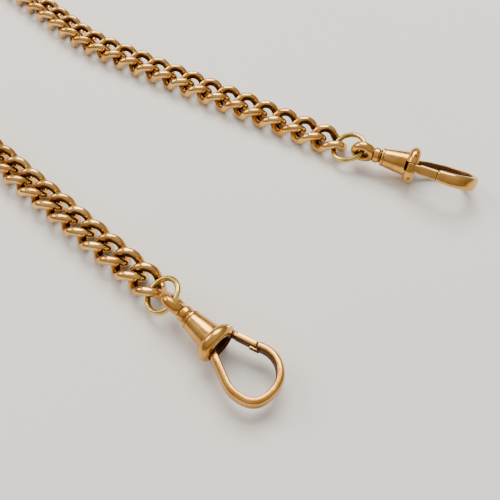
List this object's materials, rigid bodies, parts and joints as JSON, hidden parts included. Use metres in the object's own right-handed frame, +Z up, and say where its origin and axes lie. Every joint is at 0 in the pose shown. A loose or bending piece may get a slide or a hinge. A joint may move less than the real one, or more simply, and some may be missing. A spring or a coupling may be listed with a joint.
{
  "type": "pocket watch chain",
  "caption": "Double Albert pocket watch chain of twisted curb links, with a jump ring and a swivelling sprung dog clip at each end.",
  "frame": {"origin": "the middle of the laid chain's bounding box, at the level of the table", "axes": "+X along the length of the laid U, towards the clips; +Z up from the table; +Y from the watch-end strand to the fob-end strand"},
  "size_m": [0.171, 0.0643, 0.0074],
  "materials": {
    "gold": "polished, lightly worn rose-yellow gold",
    "ring_gold": "polished greener gold with a soldered seam",
    "spring_steel": "dull spring steel"
  },
  "bodies": {
    "watch_end_link_01": {"watch_end_link_01": "gold"},
    "watch_end_link_02": {"watch_end_link_02": "gold"},
    "watch_end_link_03": {"watch_end_link_03": "gold"},
    "watch_end_link_04": {"watch_end_link_04": "gold"},
    "watch_end_link_05": {"watch_end_link_05": "gold"},
    "watch_end_link_06": {"watch_end_link_06": "gold"},
    "watch_end_link_07": {"watch_end_link_07": "gold"},
    "watch_end_link_08": {"watch_end_link_08": "gold"},
    "watch_end_link_09": {"watch_end_link_09": "gold"},
    "watch_end_link_10": {"watch_end_link_10": "gold"},
    "watch_end_link_11": {"watch_end_link_11": "gold"},
    "watch_end_link_12": {"watch_end_link_12": "gold"},
    "middle_links_01": {"middle_links_01": "gold"},
    "middle_links_02": {"middle_links_02": "gold"},
    "middle_links_03": {"middle_links_03": "gold"},
    "middle_links_04": {"middle_links_04": "gold"},
    "middle_links_05": {"middle_links_05": "gold"},
    "middle_links_06": {"middle_links_06": "gold"},
    "middle_links_07": {"middle_links_07": "gold"},
    "middle_links_08": {"middle_links_08": "gold"},
    "middle_links_09": {"middle_links_09": "gold"},
    "middle_links_10": {"middle_links_10": "gold"},
    "middle_links_11": {"middle_links_11": "gold"},
    "middle_links_12": {"middle_links_12": "gold"},
    "middle_links_13": {"middle_links_13": "gold"},
    "middle_links_14": {"middle_links_14": "gold"},
    "middle_links_15": {"middle_links_15": "gold"},
    "middle_links_16": {"middle_links_16": "gold"},
    "middle_links_17": {"middle_links_17": "gold"},
    "middle_links_18": {"middle_links_18": "gold"},
    "middle_links_19": {"middle_links_19": "gold"},
    "middle_links_20": {"middle_links_20": "gold"},
    "fob_end_link_12": {"fob_end_link_12": "gold"},
    "fob_end_link_11": {"fob_end_link_11": "gold"},
    "fob_end_link_10": {"fob_end_link_10": "gold"},
    "fob_end_link_09": {"fob_end_link_09": "gold"},
    "fob_end_link_08": {"fob_end_link_08": "gold"},
    "fob_end_link_07": {"fob_end_link_07": "gold"},
    "fob_end_link_06": {"fob_end_link_06": "gold"},
    "fob_end_link_05": {"fob_end_link_05": "gold"},
    "fob_end_link_04": {"fob_end_link_04": "gold"},
    "fob_end_link_03": {"fob_end_link_03": "gold"},
    "fob_end_link_02": {"fob_end_link_02": "gold"},
    "fob_end_link_01": {"fob_end_link_01": "gold"},
    "watch_end_ring_body": {"watch_end_jump_ring": "ring_gold"},
    "watch_end_eye_body": {"watch_end_swivel_eye": "gold"},
    "watch_end_clip_body": {"watch_end_barrel": "gold", "watch_end_collar": "gold", "watch_end_hook": "gold", "watch_end_gate_pin": "gold", "watch_end_gate_spring": "spring_steel"},
    "watch_end_gate_body": {"watch_end_gate": "gold"},
    "fob_end_ring_body": {"fob_end_jump_ring": "ring_gold"},
    "fob_end_eye_body": {"fob_end_swivel_eye": "gold"},
    "fob_end_clip_body": {"fob_end_barrel": "gold", "fob_end_collar": "gold", "fob_end_hook": "gold", "fob_end_gate_pin": "gold", "fob_end_gate_spring": "spring_steel"},
    "fob_end_gate_body": {"fob_end_gate": "gold"}
  },
  "joints": [
    {"name": "middle_links_09_sway", "type": "hinge", "parent": "middle_links_10", "child": "middle_links_09", "pos_m": [-0.08176, -0.00258, 0.00205], "axis": [0, 0, 1], "range_deg": [-12, 12]},
    {"name": "middle_links_08_drape", "type": "hinge", "parent": "middle_links_09", "child": "middle_links_08", "pos_m": [-0.07767, -0.01099, 0.00205], "axis": [-0.7896, -0.6136, 0], "range_deg": [-14, 14]},
    {"name": "middle_links_07_sway", "type": "hinge", "parent": "middle_links_08", "child": "middle_links_07", "pos_m": [-0.07054, -0.01703, 0.00205], "axis": [0, 0, -1], "range_deg": [-12, 12]},
    {"name": "middle_links_06_drape", "type": "hinge", "parent": "middle_links_07", "child": "middle_links_06", "pos_m": [-0.06157, -0.01968, 0.00205], "axis": [0.0793, 0.9968, 0], "range_deg": [-14, 14]},
    {"name": "middle_links_05_sway", "type": "hinge", "parent": "middle_links_06", "child": "middle_links_05", "pos_m": [-0.05217, -0.01945, 0.00205], "axis": [0, 0, 1], "range_deg": [-12, 12]},
    {"name": "middle_links_04_drape", "type": "hinge", "parent": "middle_links_05", "child": "middle_links_04", "pos_m": [-0.04278, -0.01922, 0.00205], "axis": [0.0244, -0.9997, 0], "range_deg": [-14, 14]},
    {"name": "middle_links_03_sway", "type": "hinge", "parent": "middle_links_04", "child": "middle_links_03", "pos_m": [-0.03338, -0.01899, 0.00205], "axis": [0, 0, -1], "range_deg": [-12, 12]},
    {"name": "middle_links_02_drape", "type": "hinge", "parent": "middle_links_03", "child": "middle_links_02", "pos_m": [-0.02398, -0.01876, 0.00205], "axis": [-0.0244, 0.9997, 0], "range_deg": [-14, 14]},
    {"name": "middle_links_01_sway", "type": "hinge", "parent": "middle_links_02", "child": "middle_links_01", "pos_m": [-0.01458, -0.01853, 0.00205], "axis": [0, 0, 1], "range_deg": [-12, 12]},
    {"name": "watch_end_link_12_drape", "type": "hinge", "parent": "middle_links_01", "child": "watch_end_link_12", "pos_m": [-0.00519, -0.01888, 0.00205], "axis": [-0.0773, -0.997, 0], "range_deg": [-14, 14]},
    {"name": "watch_end_link_11_sway", "type": "hinge", "parent": "watch_end_link_12", "child": "watch_end_link_11", "pos_m": [-0.00051, -0.01933, 0.00205], "axis": [0, 0, -1], "range_deg": [-12, 12]},
    {"name": "watch_end_link_10_drape", "type": "hinge", "parent": "watch_end_link_11", "child": "watch_end_link_10", "pos_m": [0.00416, -0.01979, 0.00205], "axis": [0.0976, 0.9952, 0], "range_deg": [-22, 22]},
    {"name": "watch_end_link_09_sway", "type": "hinge", "parent": "watch_end_link_10", "child": "watch_end_link_09", "pos_m": [0.00884, -0.02025, 0.00205], "axis": [0, 0, 1], "range_deg": [-12, 12]},
    {"name": "watch_end_link_08_drape", "type": "hinge", "parent": "watch_end_link_09", "child": "watch_end_link_08", "pos_m": [0.01352, -0.02071, 0.00205], "axis": [-0.0976, -0.9952, 0], "range_deg": [-22, 22]},
    {"name": "watch_end_link_07_sway", "type": "hinge", "parent": "watch_end_link_08", "child": "watch_end_link_07", "pos_m": [0.0182, -0.02117, 0.00205], "axis": [0, 0, -1], "range_deg": [-12, 12]},
    {"name": "watch_end_link_06_drape", "type": "hinge", "parent": "watch_end_link_07", "child": "watch_end_link_06", "pos_m": [0.02287, -0.02163, 0.00205], "axis": [0.0976, 0.9952, 0], "range_deg": [-22, 22]},
    {"name": "watch_end_link_05_sway", "type": "hinge", "parent": "watch_end_link_06", "child": "watch_end_link_05", "pos_m": [0.02755, -0.02209, 0.00205], "axis": [0, 0, 1], "range_deg": [-12, 12]},
    {"name": "watch_end_link_04_drape", "type": "hinge", "parent": "watch_end_link_05", "child": "watch_end_link_04", "pos_m": [0.03223, -0.02254, 0.00205], "axis": [-0.0976, -0.9952, 0], "range_deg": [-22, 22]},
    {"name": "watch_end_link_03_sway", "type": "hinge", "parent": "watch_end_link_04", "child": "watch_end_link_03", "pos_m": [0.03691, -0.023, 0.00205], "axis": [0, 0, -1], "range_deg": [-12, 12]},
    {"name": "watch_end_link_02_drape", "type": "hinge", "parent": "watch_end_link_03", "child": "watch_end_link_02", "pos_m": [0.04158, -0.02346, 0.00205], "axis": [0.0976, 0.9952, 0], "range_deg": [-22, 22]},
    {"name": "watch_end_link_01_sway", "type": "hinge", "parent": "watch_end_link_02", "child": "watch_end_link_01", "pos_m": [0.04626, -0.02392, 0.00205], "axis": [0, 0, 1], "range_deg": [-12, 12]},
    {"name": "middle_links_11_sway", "type": "hinge", "parent": "middle_links_10", "child": "middle_links_11", "pos_m": [-0.08211, 0.00676, 0.00205], "axis": [0, 0, 1], "range_deg": [-12, 12]},
    {"name": "middle_links_12_drape", "type": "hinge", "parent": "middle_links_11", "child": "middle_links_12", "pos_m": [-0.07866, 0.01545, 0.00205], "axis": [-0.8334, 0.5527, 0], "range_deg": [-14, 14]},
    {"name": "middle_links_13_sway", "type": "hinge", "parent": "middle_links_12", "child": "middle_links_13", "pos_m": [-0.072, 0.02201, 0.00205], "axis": [0, 0, -1], "range_deg": [-12, 12]},
    {"name": "middle_links_14_drape", "type": "hinge", "parent": "middle_links_13", "child": "middle_links_14", "pos_m": [-0.06326, 0.02532, 0.00205], "axis": [0.1538, -0.9881, 0], "range_deg": [-14, 14]},
    {"name": "middle_links_15_sway", "type": "hinge", "parent": "middle_links_14", "child": "middle_links_15", "pos_m": [-0.05392, 0.02482, 0.00205], "axis": [0, 0, 1], "range_deg": [-12, 12]},
    {"name": "middle_links_16_drape", "type": "hinge", "parent": "middle_links_15", "child": "middle_links_16", "pos_m": [-0.04464, 0.02335, 0.00205], "axis": [0.1564, 0.9877, 0], "range_deg": [-14, 14]},
    {"name": "middle_links_17_sway", "type": "hinge", "parent": "middle_links_16", "child": "middle_links_17", "pos_m": [-0.03535, 0.02188, 0.00205], "axis": [0, 0, -1], "range_deg": [-12, 12]},
    {"name": "middle_links_18_drape", "type": "hinge", "parent": "middle_links_17", "child": "middle_links_18", "pos_m": [-0.02607, 0.02041, 0.00205], "axis": [-0.1564, -0.9877, 0], "range_deg": [-14, 14]},
    {"name": "middle_links_19_sway", "type": "hinge", "parent": "middle_links_18", "child": "middle_links_19", "pos_m": [-0.01679, 0.01894, 0.00205], "axis": [0, 0, 1], "range_deg": [-12, 12]},
    {"name": "middle_links_20_drape", "type": "hinge", "parent": "middle_links_19", "child": "middle_links_20", "pos_m": [-0.00746, 0.01787, 0.00205], "axis": [0.0297, 0.9996, 0], "range_deg": [-14, 14]},
    {"name": "fob_end_link_12_sway", "type": "hinge", "parent": "middle_links_20", "child": "fob_end_link_12", "pos_m": [0.00192, 0.01838, 0.00205], "axis": [0, 0, -1], "range_deg": [-12, 12]},
    {"name": "fob_end_link_11_drape", "type": "hinge", "parent": "fob_end_link_12", "child": "fob_end_link_11", "pos_m": [0.0066, 0.01884, 0.00205], "axis": [0.0976, -0.9952, 0], "range_deg": [-22, 22]},
    {"name": "fob_end_link_10_sway", "type": "hinge", "parent": "fob_end_link_11", "child": "fob_end_link_10", "pos_m": [0.01128, 0.0193, 0.00205], "axis": [0, 0, 1], "range_deg": [-12, 12]},
    {"name": "fob_end_link_09_drape", "type": "hinge", "parent": "fob_end_link_10", "child": "fob_end_link_09", "pos_m": [0.01595, 0.01976, 0.00205], "axis": [-0.0976, 0.9952, 0], "range_deg": [-22, 22]},
    {"name": "fob_end_link_08_sway", "type": "hinge", "parent": "fob_end_link_09", "child": "fob_end_link_08", "pos_m": [0.02063, 0.02022, 0.00205], "axis": [0, 0, -1], "range_deg": [-12, 12]},
    {"name": "fob_end_link_07_drape", "type": "hinge", "parent": "fob_end_link_08", "child": "fob_end_link_07", "pos_m": [0.02531, 0.02068, 0.00205], "axis": [0.0976, -0.9952, 0], "range_deg": [-22, 22]},
    {"name": "fob_end_link_06_sway", "type": "hinge", "parent": "fob_end_link_07", "child": "fob_end_link_06", "pos_m": [0.02999, 0.02114, 0.00205], "axis": [0, 0, 1], "range_deg": [-12, 12]},
    {"name": "fob_end_link_05_drape", "type": "hinge", "parent": "fob_end_link_06", "child": "fob_end_link_05", "pos_m": [0.03466, 0.0216, 0.00205], "axis": [-0.0976, 0.9952, 0], "range_deg": [-22, 22]},
    {"name": "fob_end_link_04_sway", "type": "hinge", "parent": "fob_end_link_05", "child": "fob_end_link_04", "pos_m": [0.03934, 0.02205, 0.00205], "axis": [0, 0, -1], "range_deg": [-12, 12]},
    {"name": "fob_end_link_03_drape", "type": "hinge", "parent": "fob_end_link_04", "child": "fob_end_link_03", "pos_m": [0.04402, 0.02251, 0.00205], "axis": [0.0976, -0.9952, 0], "range_deg": [-22, 22]},
    {"name": "fob_end_link_02_sway", "type": "hinge", "parent": "fob_end_link_03", "child": "fob_end_link_02", "pos_m": [0.0487, 0.02297, 0.00205], "axis": [0, 0, 1], "range_deg": [-12, 12]},
    {"name": "fob_end_link_01_drape", "type": "hinge", "parent": "fob_end_link_02", "child": "fob_end_link_01", "pos_m": [0.05337, 0.02343, 0.00205], "axis": [-0.0976, 0.9952, 0], "range_deg": [-22, 22]},
    {"name": "watch_end_ring_swing", "type": "hinge", "parent": "watch_end_link_01", "child": "watch_end_ring_body", "pos_m": [0.05009, -0.0243, 0.00205], "axis": [0.0242, 0.9304, 0.3656], "range_deg": [-40, 50]},
    {"name": "watch_end_eye_swing", "type": "hinge", "parent": "watch_end_ring_body", "child": "watch_end_eye_body", "pos_m": [0.05594, -0.02533, 0.00429], "axis": [0.0242, 0.9304, 0.3656], "range_deg": [-55, 55]},
    {"name": "watch_end_swivel", "type": "hinge", "parent": "watch_end_eye_body", "child": "watch_end_clip_body", "pos_m": [0.05601, -0.02534, 0.00428], "axis": [0.9897, -0.125, -0.0698], "continuous": true},
    {"name": "watch_end_gate_hinge", "type": "hinge", "parent": "watch_end_clip_body", "child": "watch_end_gate_body", "pos_m": [0.06626, -0.02386, 0.00359], "axis": [0.0692, -0.0087, 0.9976], "range_deg": [-30, 0], "stiffness_Nm_per_rad": 0.004, "springref_deg": 20.05, "deforming": ["watch_end_gate_spring"]},
    {"name": "fob_end_ring_swing", "type": "hinge", "parent": "fob_end_link_01", "child": "fob_end_ring_body", "pos_m": [0.0573, 0.02381, 0.00205], "axis": [-0.0412, 0.9633, 0.2653], "range_deg": [-20, 50]},
    {"name": "fob_end_eye_swing", "type": "hinge", "parent": "fob_end_ring_body", "child": "fob_end_eye_body", "pos_m": [0.06341, 0.0236, 0.00377], "axis": [-0.0412, 0.9633, 0.2653], "range_deg": [-55, 55]},
    {"name": "fob_end_swivel", "type": "hinge", "parent": "fob_end_eye_body", "child": "fob_end_clip_body", "pos_m": [0.06348, 0.02362, 0.00377], "axis": [0.9658, 0.2588, -0.0175], "continuous": true},
    {"name": "fob_end_gate_hinge", "type": "hinge", "parent": "fob_end_clip_body", "child": "fob_end_gate_body", "pos_m": [0.07373, 0.02412, 0.00529], "axis": [0.1461, -0.5982, -0.7879], "range_deg": [-30, 0], "stiffness_Nm_per_rad": 0.004, "springref_deg": 20.05, "deforming": ["fob_end_gate_spring"]}
  ]
}
